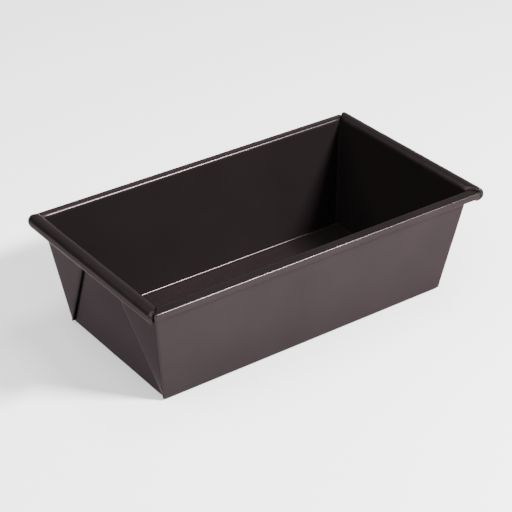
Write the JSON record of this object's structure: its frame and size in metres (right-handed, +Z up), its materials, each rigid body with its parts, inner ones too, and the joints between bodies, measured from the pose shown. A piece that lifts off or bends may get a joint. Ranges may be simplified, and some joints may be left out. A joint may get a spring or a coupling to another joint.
{
  "type": "loaf pan",
  "caption": "Deep rectangular loaf pan folded from one dark non-stick coated steel blank, with flaring walls, folded corner gussets and a wired rolled rim.",
  "frame": {"origin": "centre of the underside of the floor, on the surface that the pan stands on", "axes": "+X along the length of the pan, +Y across its width to the rear long wall, +Z up out of its mouth"},
  "size_m": [0.2482, 0.1414, 0.0761],
  "materials": {
    "coated_sheet": "satin",
    "rim_wire": "satin"
  },
  "bodies": {
    "root": {"floor_panel": "coated_sheet", "front_wall": "coated_sheet", "rear_wall": "coated_sheet", "left_end_wall": "coated_sheet", "right_end_wall": "coated_sheet", "gusset_front_left": "coated_sheet", "gusset_front_right": "coated_sheet", "gusset_rear_left": "coated_sheet", "gusset_rear_right": "coated_sheet", "front_rim_curl": "coated_sheet", "rear_rim_curl": "coated_sheet", "left_rim_curl": "coated_sheet", "right_rim_curl": "coated_sheet", "rim_wire": "rim_wire"}
  },
  "joints": []
}
